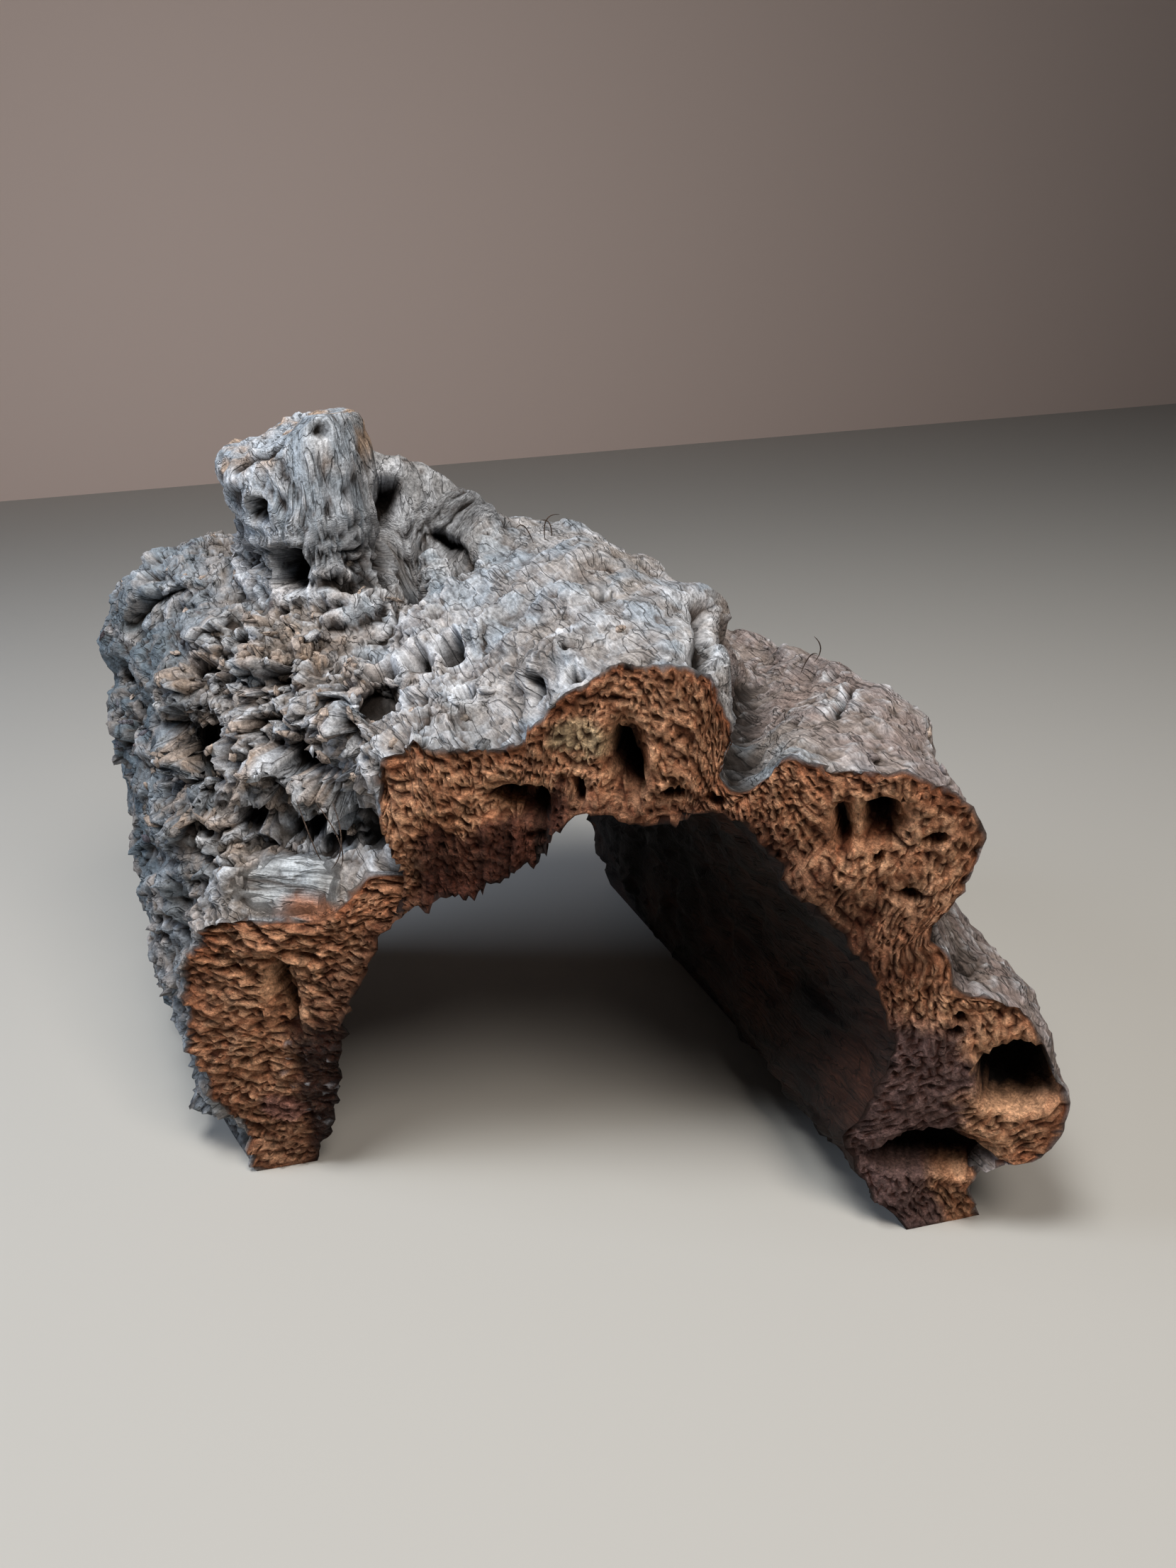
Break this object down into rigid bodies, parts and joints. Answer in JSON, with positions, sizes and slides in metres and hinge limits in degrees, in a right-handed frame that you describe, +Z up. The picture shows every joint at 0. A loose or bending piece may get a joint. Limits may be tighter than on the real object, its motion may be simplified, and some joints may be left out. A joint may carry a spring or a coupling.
{
  "type": "cork bark half tunnel",
  "caption": "Thick arched piece of virgin cork bark that stands on its two long edges, with a sawn front, a rough grey skin and a branch stump.",
  "frame": {"origin": "centre of the bounding box's bottom face, on the surface that the bark stands on", "axes": "+Z up, +Y along the tunnel from the sawn front to the broken rear, +X from the left leg to the right leg"},
  "size_m": [0.3882, 0.4182, 0.3467],
  "materials": {
    "bark": "rough weathered grey bark with orange-brown cut cork"
  },
  "bodies": {
    "root": {"bark": "bark"}
  },
  "joints": []
}
